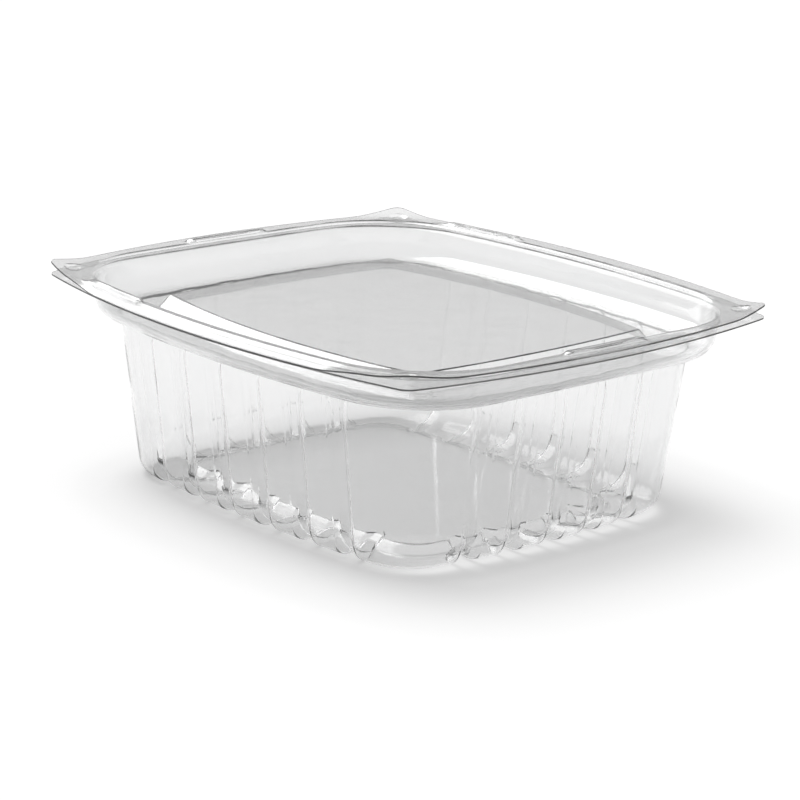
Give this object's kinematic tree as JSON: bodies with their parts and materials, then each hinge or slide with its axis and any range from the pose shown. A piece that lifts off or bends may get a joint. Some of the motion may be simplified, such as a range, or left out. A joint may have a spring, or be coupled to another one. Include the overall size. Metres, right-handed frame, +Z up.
{
  "type": "clear lidded food container",
  "caption": "Low rectangular clear plastic food container: drafted tray with vertical wall ribs, raised floor and flat flange, and a plug lid with raised centre panel and turned-up corner ears.",
  "frame": {"origin": "on the ground under the middle of the tray, at the level of its feet", "axes": "+X along the longer side, +Y along the shorter side, +Z up, the way the lid lifts"},
  "size_m": [0.19, 0.17, 0.0683],
  "materials": {
    "tray_plastic": "clear gloss sheet",
    "lid_plastic": "clear gloss sheet"
  },
  "bodies": {
    "tray": {"base_tray": "tray_plastic"},
    "lid": {"lid": "lid_plastic"}
  },
  "joints": [
    {"name": "lid_lift", "type": "slide", "parent": "tray", "child": "lid", "axis": [0, 0, 1], "range_m": [0, 0.03]}
  ]
}
